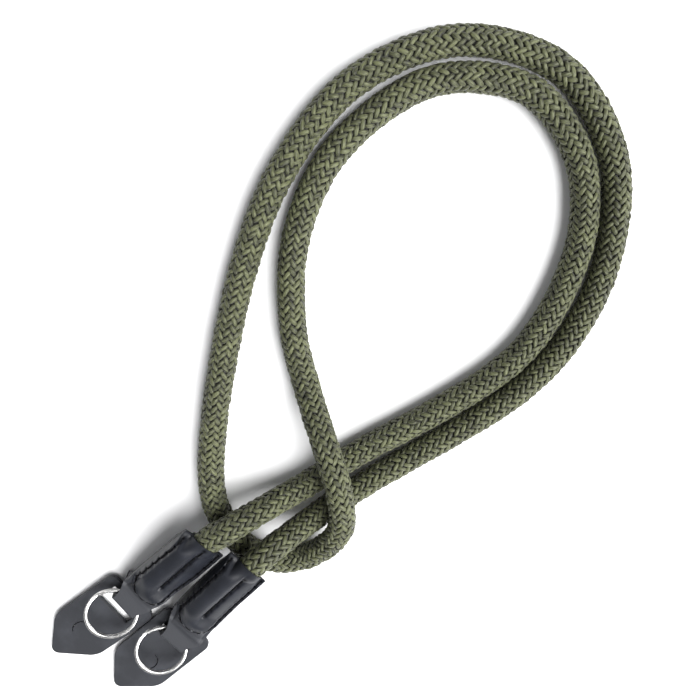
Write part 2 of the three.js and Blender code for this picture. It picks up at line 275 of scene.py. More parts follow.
class StrapColours(bpy.types.PropertyGroup):
    # The braid is coloured between these two: the light one also serves as painted highlight on the fibres,
    # the dark one as painted shade at the stitches' rims and ends.
    yarn_light: colour_property("Light yarn", "Lit fibres of the braid", (0.108, 0.117, 0.053))
    yarn_dark: colour_property("Dark yarn", "Shaded fibres of the braid", (0.012, 0.013, 0.005))
    # The core is near-black as painted shade in the gaps between the stitches.
    core: colour_property("Core", "The gaps between the stitches", (0.006, 0.006, 0.003))
    sleeve: colour_property("Sleeve leather", "Smooth leather of the sleeves", (0.0078, 0.0092, 0.0140))
    pad: colour_property("Pad leather", "Matt leather of the pads and loops", (0.026, 0.0275, 0.0325))
    thread: colour_property("Thread", "Sewing thread", (0.0025, 0.0025, 0.003))
    nickel: colour_property("Nickel", "Plating of the split rings", (0.92, 0.90, 0.86))
    floor: colour_property("Floor", "The pale surface", (0.93, 0.93, 0.94))


def sizes():
    return bpy.context.scene.strap_sizes


def colours():
    return bpy.context.scene.strap_colours


# Vectors, paths and meshes

def unit(v):
    v = np.asarray(v, float)
    return v / np.linalg.norm(v, axis=-1, keepdims=True)


def ease(x):
    """0 below 0, 1 above 1 and a smooth rise between them."""
    x = np.clip(x, 0, 1)
    return x * x * (3 - 2 * x)


def hill(x, width):
    """A round rise, 1 at 0 and near 0 beyond twice the width."""
    return np.exp(-((x / width) ** 2))


def heading(degrees):
    """The level way that an angle from +X points, and the level way to its left."""
    a = math.radians(degrees)
    return np.array([math.cos(a), math.sin(a), 0.0]), np.array([-math.sin(a), math.cos(a), 0.0])


def fold_place(side):
    """The outermost point of a loop, on the ground."""
    return np.array([*ENDS[side]["fold"], 0.0]) + TO_ORIGIN


def distances(points):
    """How far along a line of points each one lies."""
    return np.r_[0, np.cumsum(np.linalg.norm(np.diff(points, axis=0), axis=1))]


def between(at, run, table):
    """The rows of a table at other distances than its own."""
    return np.stack([np.interp(at, run, column) for column in table.T], -1)


def smooth_curve(points, steps=24):
    """A centripetal Catmull-Rom curve through the points."""
    points = [np.asarray(p, float) for p in points]
    ends = [2 * points[0] - points[1], *points, 2 * points[-1] - points[-2]]
    out = []
    for p0, p1, p2, p3 in zip(ends, ends[1:], ends[2:], ends[3:]):
        d0, d1, d2 = (math.sqrt(np.linalg.norm(b - a)) for a, b in ((p0, p1), (p1, p2), (p2, p3)))
        t1 = ((p1 - p0) / d0 - (p2 - p0) / (d0 + d1) + (p2 - p1) / d1) * d1
        t2 = ((p2 - p1) / d1 - (p3 - p1) / (d1 + d2) + (p3 - p2) / d2) * d1
        t = np.linspace(0, 1, steps, endpoint=False)[:, None]
        out.append(p1 + t1 * t + (3 * (p2 - p1) - 2 * t1 - t2) * t**2 + (2 * (p1 - p2) + t1 + t2) * t**3)
    return np.vstack([*out, points[-1][None]])


class Path:
    """A curve by its length, with a frame carried along it without twist."""

    def __init__(self, points, step=0.0005):
        dense = smooth_curve(points)
        run = distances(dense)
        self.length = run[-1]
        self.s = np.linspace(0, self.length, int(self.length / step) + 1)
        self.at = between(self.s, run, dense)
        self.ahead = unit(np.gradient(self.at, axis=0))
        side = [unit(np.cross((0, 0, 1), self.ahead[0]))]
        for t in self.ahead[1:]:
            last = side[-1]
            side.append(unit(last - t * np.dot(last, t)))
        self.side = np.array(side)
        self.up = np.cross(self.ahead, self.side)

    def _look(self, table, s):
        return between(s, self.s, table)

    def around(self, s, angle, radius):
        """Points at a length, an angle round the axis and a radius, as arrays of one shape."""
        side, up = unit(self._look(self.side, s)), unit(self._look(self.up, s))
        spoke = side * np.cos(angle)[..., None] + up * np.sin(angle)[..., None]
        return self._look(self.at, s) + spoke * np.asarray(radius)[..., None]

    def frame_at(self, s):
        """The place and direction at a length, carried on straight before the start and past the end."""
        inside = min(max(s, 0.0), self.length)
        ahead = unit(self._look(self.ahead, np.array(inside)))
        return self._look(self.at, np.array(inside)) + ahead * (s - inside), ahead


ROPE = Path(np.array(ROPE_ROUTE) + TO_ORIGIN)


def deselect():
    if bpy.context.object and bpy.context.object.mode != "OBJECT":
        bpy.ops.object.mode_set(mode="OBJECT")
    bpy.ops.object.select_all(action="DESELECT")


def mesh_object(name, vertices, faces):
    mesh = bpy.data.meshes.new(name)
    mesh.from_pydata(vertices, [], faces)
    mesh.validate()
    piece = bpy.data.objects.new(name, mesh)
    bpy.context.scene.collection.objects.link(piece)
    return piece


def activate(piece):
    deselect()
    piece.select_set(True)
    bpy.context.view_layer.objects.active = piece


def apply_modifier(piece, kind, **settings):
    activate(piece)
    modifier = piece.modifiers.new(kind.lower(), kind)
    for key, value in settings.items():
        setattr(modifier, key, value)
    bpy.ops.object.modifier_apply(modifier=modifier.name)


def cut(piece, cutter):
    apply_modifier(piece, "BOOLEAN", operation="DIFFERENCE", object=cutter, solver="MANIFOLD")
    bpy.data.objects.remove(cutter, do_unlink=True)


def smooth(piece, degrees=35):
    activate(piece)
    bpy.ops.object.shade_smooth_by_angle(angle=math.radians(degrees))


def put_in_place(piece, matrix):
    """Moves a piece's mesh and leaves the object itself at the origin."""
    piece.data.transform(matrix)
    piece.data.update()


def finish_piece(piece, body, material):
    mesh = piece.data
    mesh.materials.clear()
    mesh.materials.append(material)
    mesh.polygons.foreach_set("material_index", np.zeros(len(mesh.polygons), np.int32))
    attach(piece, body)


def grid_faces(rows, columns):
    """Quads between rows of points, each row closed round."""
    faces = []
    for r in range(rows - 1):
        for c in range(columns):
            a, b = r * columns + c, r * columns + (c + 1) % columns
            faces.append((a, b, b + columns, a + columns))
    return faces


def tube_faces(rows, columns):
    """Quads round a closed tube of rows of points, and a face over each end."""
    faces = grid_faces(rows, columns)
    faces.append(tuple(reversed(range(columns))))
    faces.append(tuple(range((rows - 1) * columns, rows * columns)))
    return faces


def closed_cutter(name, points, faces):
    cutter = mesh_object(name, points, faces)
    face_out(cutter)
    return cutter


def face_out(piece):
    """Turns all faces of a closed mesh outwards."""
    activate(piece)
    bpy.ops.object.mode_set(mode="EDIT")
    bpy.ops.mesh.select_all(action="SELECT")
    bpy.ops.mesh.normals_make_consistent(inside=False)
    bpy.ops.object.mode_set(mode="OBJECT")


# Materials

def new_group(name, inputs, outputs):
    group = bpy.data.node_groups.new(name, "ShaderNodeTree")
    for socket, kind, default in inputs:
        made = group.interface.new_socket(socket, in_out="INPUT", socket_type=kind)
        if default is not None:
            made.default_value = default
    for socket, kind in outputs:
        group.interface.new_socket(socket, in_out="OUTPUT", socket_type=kind)
    return group, group.nodes.new("NodeGroupInput"), group.nodes.new("NodeGroupOutput")


class Nodes:
    """Short ways to add and join nodes in one tree."""

    def __init__(self, tree):
        self.tree = tree

    def add(self, kind, inputs=None, **settings):
        node = self.tree.nodes.new(f"ShaderNode{kind}")
        for key, value in settings.items():
            setattr(node, key, value)
        for key, value in (inputs or {}).items():
            if isinstance(value, bpy.types.NodeSocket):
                self.tree.links.new(value, node.inputs[key])
            else:
                node.inputs[key].default_value = value
        return node

    def math(self, operation, a, b=0.0, clamp=False):
        return self.add("Math", {0: a, 1: b}, operation=operation, use_clamp=clamp).outputs[0]

    def mix(self, factor, a, b):
        return self.add("Mix", {0: factor, 6: a, 7: b}, data_type="RGBA").outputs[2]

    def group(self, tree, inputs):
        return self.add("Group", inputs, node_tree=tree)


def leather_grain():
    """Fine pores and slow waves of leather, as a height, and a mask of its lighter rubbed places."""
    if "leather_grain" in bpy.data.node_groups:
        return bpy.data.node_groups["leather_grain"]
    group, given, out = new_group(
        "leather_grain",
        [("Vector", "NodeSocketVector", None), ("Pore Scale", "NodeSocketFloat", 1500.0),
         ("Wave Scale", "NodeSocketFloat", 90.0)],
        [("Height", "NodeSocketFloat"), ("Rubbed", "NodeSocketFloat")])
    n = Nodes(group)
    pores = n.add("TexVoronoi", {"Vector": given.outputs["Vector"], "Scale": given.outputs["Pore Scale"]})
    waves = n.add("TexNoise", {"Vector": given.outputs["Vector"], "Scale": given.outputs["Wave Scale"],
                               "Detail": 5.0, "Roughness": 0.6})
    fine = n.add("TexNoise", {"Vector": given.outputs["Vector"], "Scale": 2600.0, "Detail": 3.0})
    height = n.math("MULTIPLY", pores.outputs["Distance"], 0.45)
    height = n.math("ADD", height, n.math("MULTIPLY", waves.outputs["Fac"], 0.5))
    height = n.math("ADD", height, n.math("MULTIPLY", fine.outputs["Fac"], 0.2))
    group.links.new(height, out.inputs["Height"])
    rubbed = n.add("MapRange", {0: waves.outputs["Fac"], 1: 0.45, 2: 0.75})
    group.links.new(rubbed.outputs[0], out.inputs["Rubbed"])
    return group


def principled(name, **constants):
    material = bpy.data.materials.new(name)
    material.use_nodes = True
    n = Nodes(material.node_tree)
    shader = material.node_tree.nodes["Principled BSDF"]
    for key, value in constants.items():
        shader.inputs[key.replace("_", " ")].default_value = value
    return material, n, shader


def rgba(colour, factor=1.0):
    return (*(min(1.0, c * factor) for c in colour), 1.0)


def bump(n, shader, height, strength, distance):
    node = n.add("Bump", {"Height": height, "Strength": strength, "Distance": distance})
    n.tree.links.new(node.outputs[0], shader.inputs["Normal"])


def leather_material(name, base, roughness, strip=False):
    material, n, shader = principled(name, Specular_IOR_Level=0.30)
    place = n.add("TexCoord").outputs["Object"]
    grain = n.group(leather_grain(), {"Vector": place})
    colour = n.mix(grain.outputs["Rubbed"], rgba(base, 0.85), rgba(base, 1.35))
    rough = n.math("ADD", n.math("MULTIPLY", grain.outputs["Rubbed"], 0.10), roughness)
    if strip:
        flat = n.add("Attribute", attribute_name="strip").outputs["Fac"]
        colour = n.mix(flat, colour, rgba(colours().pad))
        rough = n.math("ADD", rough, n.math("MULTIPLY", flat, 0.12))
        # Painted shade: the needle holes take the thread's colour and lose their sheen, partly for the
        # thread in them and partly for the shade inside the holes.
        hole = n.add("Attribute", attribute_name="hole").outputs["Fac"]
        colour = n.mix(hole, colour, rgba(colours().thread))
        open_leather = n.math("SUBTRACT", 1.0, hole)
        n.tree.links.new(n.math("MULTIPLY", open_leather, 0.42), shader.inputs["Specular IOR Level"])
    n.tree.links.new(colour, shader.inputs["Base Color"])
    n.tree.links.new(rough, shader.inputs["Roughness"])
    bump(n, shader, grain.outputs["Height"], 0.35, 0.00012)
    return material


def yarn_material():
    """Olive yarn: fibres run along each stitch, partly its own tone and partly painted highlight, painted
    shade darkens its rims and ends, and stitches differ a little.
    """
    material, n, shader = principled("olive_yarn", Roughness=0.52, Sheen_Weight=0.12,
                                     Sheen_Roughness=0.5, Specular_IOR_Level=0.4)
    uv = n.add("UVMap", uv_map="yarn").outputs["UV"]
    tone = n.add("Attribute", attribute_name="tone").outputs["Fac"]
    split = n.add("SeparateXYZ", {0: uv})
    along, across = split.outputs[0], split.outputs[1]
    fibres = n.add("TexNoise", {"Vector": n.add("CombineXYZ", {
        0: n.math("MULTIPLY", along, 1.3), 1: n.math("MULTIPLY", across, 3.6),
        2: n.math("MULTIPLY", tone, 37.0)}).outputs[0], "Scale": 1.0, "Detail": 4.0}).outputs["Fac"]
    # Painted shade: each stitch darkens towards its rims and its ends, where it runs under its neighbours.
    rim_shade = n.math("MULTIPLY", n.math("POWER", n.math("ABSOLUTE", across), 3.0), 0.55)
    tip_shade = n.math("MULTIPLY", n.math("POWER", n.math("ABSOLUTE", along), 4.0), 0.75)
    # Fibre streaks in strong contrast: partly the yarn's own tone and partly painted highlight; each
    # stitch's random tone lifts them a little.
    light = n.math("MULTIPLY", n.math("SUBTRACT", fibres, 0.5), 3.0)
    light = n.math("ADD", n.math("ADD", light, 0.36), n.math("MULTIPLY", tone, 0.5))
    light = n.math("SUBTRACT", light, n.math("ADD", rim_shade, tip_shade), clamp=True)
    shade = n.mix(light, rgba(colours().yarn_dark), rgba(colours().yarn_light))
    n.tree.links.new(shade, shader.inputs["Base Color"])
    bump(n, shader, fibres, 0.8, 0.00035)
    return material


def plain_material(name, base, roughness, scale, **constants):
    """A finish with slow changes of shade and a fine bump."""
    material, n, shader = principled(name, **constants)
    place = n.add("TexCoord").outputs["Object"]
    noise = n.add("TexNoise", {"Vector": place, "Scale": scale, "Detail": 4.0}).outputs["Fac"]
    n.tree.links.new(n.mix(noise, rgba(base, 0.8), rgba(base, 1.2)), shader.inputs["Base Color"])
    rough = n.math("ADD", n.math("MULTIPLY", noise, 0.12), roughness - 0.06)
    n.tree.links.new(rough, shader.inputs["Roughness"])
    bump(n, shader, noise, 0.2, 0.00005)
    return material


# Rope

def squeeze(s):
    """How much thinner the rope is at a length: the sleeves pinch it at their mouths and inside."""
    inside = np.maximum(ENDS["left"]["mouth"] - s, s - (ROPE.length - ENDS["right"]["mouth"]))
    swell = SWELL * hill(inside + SWELL_AT, SWELL_REACH)
    at_mouth = PINCH_AT_MOUTH * ease((inside + PINCH_AT_MOUTH_REACH) / PINCH_AT_MOUTH_REACH)
    return 1 + swell - at_mouth - PINCH_INSIDE * ease(inside / PINCH_INSIDE_REACH)


def braid_stitches(side, columns, pitch, height, seed):
    """All stitches of one lean: plump closed yarns laid over the core, sunk in at their ends."""
    rings = np.array(STITCH_RINGS)
    spokes = np.radians(STITCH_SPOKES)
    lay = columns * pitch
    lean = math.atan2(math.pi * ROPE_DIAMETER, lay) + STITCH_LEAN
    half_length = STITCH_OVERLAP * lay / (2 * columns) / math.cos(lean)
    half_width = STITCH_WIDTH * math.pi * ROPE_DIAMETER / columns * math.cos(lean)
    base = ROPE_DIAMETER / 2 + STITCH_PROUD - height
    plump = (1 - np.abs(rings) ** STITCH_PLUMPNESS) ** 0.5
    lift = np.sin(spokes) * height * np.where(np.sin(spokes) > 0, 1, STITCH_UNDERSIDE)
    u = np.r_[-1.0, np.repeat(rings, len(spokes)), 1.0]
    v = np.r_[0.0, np.outer(plump, np.cos(spokes)).ravel(), 0.0]
    h = np.r_[0.0, np.outer(plump, lift).ravel(), 0.0]
    sink = STITCH_SINK * height * np.abs(u) ** 3

    ring, spoke = len(rings), len(spokes)
    faces = []
    for k in range(spoke):
        after = (k + 1) % spoke
        faces.append((0, 1 + after, 1 + k))
        for r in range(ring - 1):
            a, b = 1 + r * spoke + k, 1 + r * spoke + after
            faces.append((a, b, b + spoke, a + spoke))
        top = 1 + (ring - 1) * spoke
        faces.append((top + k, top + after, 1 + ring * spoke))
    if side < 0:
        faces = [tuple(reversed(f)) for f in faces]

    start, stop = ROPE_END_CUT, ROPE.length - ROPE_END_CUT
    rows = np.arange(math.ceil(start / pitch), math.floor(stop / pitch) - 1)
    lanes = np.arange(0 if side > 0 else 1, columns, 2)
    row, lane = (x.ravel() for x in np.meshgrid(rows, lanes, indexing="ij"))
    count = len(row)
    draw = np.random.default_rng(seed)
    tone = draw.random(count)
    size = 1 + draw.normal(0, SIZE_VARIES, (count, 1))
    tilt = lean + draw.normal(0, LEAN_VARIES, (count, 1))
    raise_by = draw.normal(0, HEIGHT_VARIES, (count, 1))
    shift = draw.normal(0, PLACE_VARIES, (count, 2))
    s = (row[:, None] + STITCH_PHASES[side]) * pitch + shift[:, :1]
    angle = 2 * math.pi * (lane[:, None] + COLUMN_PHASE) / columns
    x = half_length * u * size * np.cos(tilt) - half_width * v * np.sin(tilt)
    y = half_length * u * size * np.sin(tilt) + half_width * v * np.cos(tilt) + shift[:, 1:]
    radius = base + h - sink + raise_by
    points = ROPE.around(s + x, angle + side * y / (ROPE_DIAMETER / 2), radius * squeeze(s + x))
    points[..., 2] = np.maximum(points[..., 2], 0)

    per = len(u)
    all_faces = [tuple(i + per * k for i in f) for k in range(count) for f in faces]
    flat_uv = np.stack([u, v], 1)
    return points.reshape(-1, 3), all_faces, np.tile(flat_uv, (count, 1)), np.repeat(tone, per)


def mark_yarn(piece, uv, tone):
    """Stores where each point lies on its stitch, and the stitch's own tone."""
    mesh = piece.data
    corners = np.empty(len(mesh.loops), np.int32)
    mesh.loops.foreach_get("vertex_index", corners)
    layer = mesh.uv_layers.new(name="yarn")
    layer.data.foreach_set("uv", uv[corners].astype(np.float32).ravel())
    attribute = mesh.attributes.new("tone", "FLOAT", "POINT")
    attribute.data.foreach_set("value", tone.astype(np.float32))
    mesh.polygons.foreach_set("use_smooth", np.ones(len(mesh.polygons), bool))


class STRAP_OT_rope(bpy.types.Operator):
    """The braided rope: a core, and its stitches in two leans"""

    bl_idname = "strap.rope"
    bl_label = "Rope"

    def execute(self, context):
        steps = int(ROPE.length / CORE_STEP)
        s = np.linspace(ROPE_END_CUT, ROPE.length - ROPE_END_CUT, steps)
        angles = np.linspace(0, 2 * math.pi, CORE_SIDES, endpoint=False)
        grid_s, grid_angle = np.meshgrid(s, angles, indexing="ij")
        points = ROPE.around(grid_s, grid_angle, CORE_RADIUS * squeeze(grid_s)).reshape(-1, 3)
        core = mesh_object("rope_core_gap_shade", points, tube_faces(steps, CORE_SIDES))
        smooth(core)
        # Painted shade: the core is near-black so that the gaps between the stitches look shaded.
        dark = plain_material("rope_core_gap_shade", colours().core, roughness=0.9, scale=900.0)
        finish_piece(core, STRAP_BODY, dark)

        yarn = yarn_material()
        for name, side in (("rope_yarn_right", 1), ("rope_yarn_left", -1)):
            points, faces, uv, tone = braid_stitches(
                side, sizes().columns, sizes().pitch, sizes().yarn_height, seed=FIRST_SEED + side)
            piece = mesh_object(name, points, faces)
            mark_yarn(piece, uv, tone)
            finish_piece(piece, STRAP_BODY, yarn)
        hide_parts("rope")
        return {"FINISHED"}


# Sleeves

class Sleeve:
    """A sleeve and its loop by distance along it from the rope's end, distance across and height."""

    def __init__(self, side):
        end = ENDS[side]
        ahead, _ = heading(end["turn"])
        fold = fold_place(side)
        table = []
        for row in LOOP_ROWS:
            at = fold - ahead * row["back"] + np.array([0, 0, LOOP_HALF_HEIGHT])
            widths = [row["half_width"]] * 2 if "half_width" in row else end["widths"][0]
            table.append([*at, *ahead, *widths, LOOP_HALF_HEIGHT, LOOP_HALF_HEIGHT])
        for row, widths in zip(SLEEVE_ROWS, end["widths"][1:]):
            along = end["mouth"] if row["along"] is None else row["along"]
            at, way = ROPE.frame_at(along if side == "left" else ROPE.length - along)
            way = -way if side == "left" else way
            table.append([*at, *way, *widths, row["flange"], row["crown"]])
        table = np.array(table)
        run = distances(table[:, :3])
        rope_end = run[len(LOOP_ROWS)] - SLEEVE_ROWS[0]["along"]
        w = np.arange(0, run[-1], SLEEVE_STEP)
        dense = between(w, run, table)
        reach = EASED_STEPS
        kernel = np.hanning(2 * reach + 3)[1:-1]
        kernel /= kernel.sum()
        eased = np.stack([
            np.convolve(np.r_[2 * c[0] - c[reach:0:-1], c, 2 * c[-1] - c[-2:-reach - 2:-1]],
                        kernel, "valid") for c in dense.T], 1)
        self.side = side
        self.from_fold = w
        self.along = w - rope_end
        self.length = self.along[-1]
        self.at = eased[:, :3]
        self.way = unit(eased[:, 3:6])
        self.middle, self.half_width = (eased[:, 7] - eased[:, 6]) / 2, (eased[:, 7] + eased[:, 6]) / 2
        self.flange, self.crown = eased[:, 8], eased[:, 9]
        self.left = unit(np.stack([-self.way[:, 1], self.way[:, 0], np.zeros(len(w))], 1))
        self.up = np.cross(self.way, self.left)
        self.holes = np.empty((0, 2))
        self.rows = self.sewing()
        self.holes = np.vstack([self.marks(row) for row in self.rows])

    def look(self, values, along):
        if values.ndim == 1:
            return np.interp(along, self.along, values)
        return between(along, self.along, values)

    def slant(self, along, across, high):
        """How much further along a point lies because the mouth is cut at a slant."""
        near = ease((along - SLANT_FROM) / (self.length - SLANT_FROM))
        return near * (MOUTH_SKEW[self.side] * across + MOUTH_LEAN * high)

    def place(self, along, across, high):
        further = self.slant(along, across, high)
        point = self.look(self.at, along) - self.look(self.way, along) * further[..., None]
        point = point + self.look(self.left, along) * across[..., None]
        return point + self.look(self.up, along) * high[..., None]

    def inside_edge(self, along, across):
        """How far inside the round-ended outline a point lies, below 0 outside it."""
        width = self.look(self.half_width, np.maximum(along, -0.001))
        middle = self.look(self.middle, np.maximum(along, -0.001))
        past = np.clip((NOSE_AT + NOSE_LENGTH - along) / NOSE_LENGTH, 0, None)
        over = np.abs(across - middle) / width
        radial = np.hypot(over, past) + 1e-9
        return (1 - radial) * (width * over**2 + NOSE_LENGTH * past**2) / radial**2

    def sewing(self):
        """The rows of stitches: one beside the bulge and one round the edge."""
        along = np.arange(INNER_ROW_START, self.length - INNER_ROW_END, ROW_STEP)
        inner = np.stack([along, np.full(len(along), BULGE_SHIFT + INNER_ROW)], 1)
        middle = NOSE_AT + NOSE_LENGTH
        straight = np.arange(self.length - OUTER_ROW_END, middle, -ROW_STEP)
        wide = self.look(self.half_width, straight) - OUTER_ROW
        centre = self.look(self.middle, straight)
        bend = np.linspace(0, math.pi, 200)
        along = np.r_[straight, middle - (NOSE_LENGTH - OUTER_ROW) * np.sin(bend), straight[::-1]]
        across = np.r_[centre + wide, centre[-1] + wide[-1] * np.cos(bend), (centre - wide)[::-1]]
        return [inner, np.stack([along, across], 1)]

    @staticmethod
    def marks(row):
        """Points along a row of stitches, one stitch apart."""
        run = distances(row)
        return between(np.arange(0.0, run[-1], sizes().stitch), run, row)

    def bore(self, along):
        inside = np.maximum(self.length - along, 0)
        radius = BORE_AT_MOUTH - (BORE_AT_MOUTH - BORE_INSIDE) * ease(inside / BORE_TAPER)
        return np.where(along > 0, radius, 0.0)

    def high(self, along, across):
        """Height of the leather over the middle plane."""
        flange, crown = self.look(self.flange, along), self.look(self.crown, along)
        width = self.look(self.half_width, along)
        middle = self.look(self.middle, along)
        sewn = ease((along - SEWN_FROM) / SEWN_REACH)
        beside = across - BULGE_SHIFT
        reach = np.abs(beside)

        dome = flange + (crown - flange) * np.sqrt(1 - np.clip(np.abs(across) / DOME_HALF_WIDTH, 0, 1) ** 2)
        bulge = (crown + BULGE_RISE) * np.sqrt(1 - np.clip(reach / BULGE_HALF_WIDTH, 0, 1) ** 2)
        edge_at = width + np.sign(beside) * (middle - BULGE_SHIFT)
        slope = np.clip((reach - INNER_ROW) / (edge_at - INNER_ROW), 0, 1)
        fall = (0.5 + 0.5 * np.cos(math.pi * slope)) ** SHOULDER_CURVE
        shoulder = flange + (crown - SHOULDER_DROP - flange) * fall
        body = np.where(reach < INNER_ROW, np.maximum(bulge, shoulder), shoulder)
        run_in = ease((along - INNER_ROW_START + GROOVE_RUN_IN) / GROOVE_RUN_IN)
        body = body - sizes().groove * run_in * hill(beside - INNER_ROW, GROOVE_WIDTH)
        high = dome + (body - dome) * ease((along - BULGE_FROM) / BULGE_REACH)

        edge = self.inside_edge(along, across)
        high = high - sewn * STEP_DOWN * ease(-edge / STEP_WIDTH)
        high = high - sewn * ROW_DEPTH * hill(edge - OUTER_ROW, ROW_WIDTH)
        high = high + sewn * WELT_HEIGHT * hill(edge - OUTER_ROW - WELT_AT, WELT_WIDTH)
        high = high - sewn * EDGE_DROP * np.clip(1 - np.abs(edge) / EDGE_WIDTH, 0, 1) ** 2 * (edge > 0)
        gap = np.full(np.shape(along), 1.0)
        for hole in self.holes:
            gap = np.minimum(gap, np.hypot(along - hole[0], across - hole[1]))
        high = high - sewn * HOLE_DEPTH * hill(gap, HOLE_WIDTH)

        thin = (BORE_AT_MOUTH + MOUTH_LEATHER) ** 2 - across**2
        thin = np.maximum(np.sqrt(np.clip(thin, 0, None)), MOUTH_FLANGE)
        pared = ease(1 - (self.length - along) / PARED_LENGTH)
        high = high + (np.minimum(high, thin) - high) * pared
        further = along + self.slant(along, across, BORE_AT_MOUTH)
        cover = np.sqrt(np.clip((self.bore(further) + BORE_WALL) ** 2 - across**2, 0, None))
        return np.maximum(np.maximum(high, cover), LEAST_HEIGHT)

    def surface(self):
        """Rows of points round the sleeve."""
        along = self.along[:, None]
        width, middle = self.half_width[:, None], self.middle[:, None]
        share = np.sin(np.linspace(1, -1, SLEEVE_COLUMNS) * math.pi / 2)[None, :]
        across = middle + share * (width - FACE_INSET)
        round_fold = np.sqrt(np.clip(1 - (1 - np.clip(self.from_fold / FOLD_ROUND, 0, 1)) ** 2, 0.02, 1))
        top = self.high(along + 0 * across, across) * round_fold[:, None]
        rim_in, rim_high = np.array(RIM).T[:, None, :]
        rim_across = width - rim_in
        ring_across = np.hstack([across, middle - rim_across, across[:, ::-1], middle + rim_across])
        ring_high = np.hstack(
            [top, top[:, -1:] * rim_high, -top[:, ::-1], top[:, :1] * rim_high[:, ::-1]])
        return self.place(along + 0 * ring_across, ring_across, ring_high)

    def hole_thread_and_shade_mask(self, points):
        """1 at the needle holes and 0 away from them, where the leather is painted dark: partly the thread
        in them, partly painted shade in the holes.
        """
        along, across = self.holes.T
        high = self.high(along, across)
        holes = np.vstack([self.place(along, across, face * high) for face in (1, -1)])
        nearest = np.full(len(points), 1.0)
        for hole in holes:
            nearest = np.minimum(nearest, np.linalg.norm(points - hole, axis=1))
        return hill(nearest, HOLE_RADIUS)

    def strip_mask(self, points):
        """1 where a point lies on the strip outside the sleeve's round end, else 0."""
        origin, way, left = (self.look(t, np.array(0.0)) for t in (self.at, self.way, self.left))
        along = -(points - origin) @ way
        across = (points - origin) @ left
        return ease(-self.inside_edge(along, across) / STEP_WIDTH) * (along < NOSE_AT + NOSE_LENGTH)


def loop_void(side):
    """The open inside of the loop, seen from the side and carried straight across."""
    front, top = LEATHER + 0.0001, PIVOT_HEIGHT + EYE_RADIUS
    bend = np.linspace(math.pi / 2, math.pi, 13)
    outline = [(front, LEATHER), (VOID_REAR, LEATHER)]
    outline += [(VOID_REAR, top - VOID_SLOPE[1]), (VOID_REAR - VOID_SLOPE[0], top)]
    outline += [(PIVOT_BACK + EYE_RADIUS * math.cos(b), PIVOT_HEIGHT + EYE_RADIUS * math.sin(b))
                for b in bend]
    outline.append((front, PIVOT_HEIGHT - VOID_CORNER))
    ahead, left = heading(ENDS[side]["turn"])
    fold = fold_place(side)
    points = [fold - ahead * b + np.array([0, 0, z]) + left * y
              for y in (-CUTTER_REACH, CUTTER_REACH) for b, z in outline]
    count = len(outline)
    faces = [tuple(range(count)), tuple(reversed(range(count, 2 * count)))]
    faces += [((k + 1) % count, k, k + count, (k + 1) % count + count) for k in range(count)]
    return closed_cutter("loop_void", points, faces)


def rope_bore(sleeve):
    """The room for the rope in a sleeve, out past its mouth."""
    length = ENDS[sleeve.side]["mouth"] + ROPE_DIAMETER
    s = np.arange(BORE_START, length, BORE_STEP)
    angles = np.linspace(0, 2 * math.pi, BORE_SIDES, endpoint=False)
    rings = []
    for value, radius in zip(s, sleeve.bore(s)):
        at, way = ROPE.frame_at(value if sleeve.side == "left" else ROPE.length - value)
        across = unit(np.cross((0, 0, 1), way))
        up = np.cross(way, across)
        rings.append(at + radius * (np.cos(angles)[:, None] * across + np.sin(angles)[:, None] * up))
    return closed_cutter("rope_bore", np.vstack(rings), tube_faces(len(s), len(angles)))


def thread(sleeve, spacing):
    """Stitches on both faces, each a short thread that dips into the leather at its ends."""
    share = np.linspace(-1, 1, THREAD_RINGS)
    spokes = np.linspace(0, 2 * math.pi, THREAD_SPOKES, endpoint=False)
    thick = THREAD_RADIUS * np.sqrt(1 - THREAD_TAPER * np.abs(share) ** 3)
    lift = THREAD_LIFT - THREAD_DIP * np.abs(share) ** 3
    tube = tube_faces(len(share), len(spokes))
    vertices, faces = [], []
    for row in sleeve.rows:
        run = distances(row)
        for start in np.arange(0, run[-1] - spacing, spacing):
            marks = start + spacing / 2 + share * THREAD_SHARE * spacing
            along, across = (np.interp(marks, run, column) for column in row.T)
            high = sleeve.high(along, across)
            high = THREAD_FOLLOWS * high + (1 - THREAD_FOLLOWS) * high[len(share) // 2]
            for face in (1, -1):
                centre = sleeve.place(along, across, face * (high + lift))
                over = unit(sleeve.place(along, across, face * (high + lift + 0.001)) - centre)
                side = np.cross(unit(np.gradient(centre, axis=0)), over)
                first = len(vertices)
                for k, radius in enumerate(thick):
                    for spoke in spokes:
                        vertices.append(centre[k] + radius * (
                            math.cos(spoke) * side[k] + THREAD_FLATNESS * math.sin(spoke) * over[k]))
                faces += [tuple(first + i for i in f) for f in tube]
    return vertices, faces


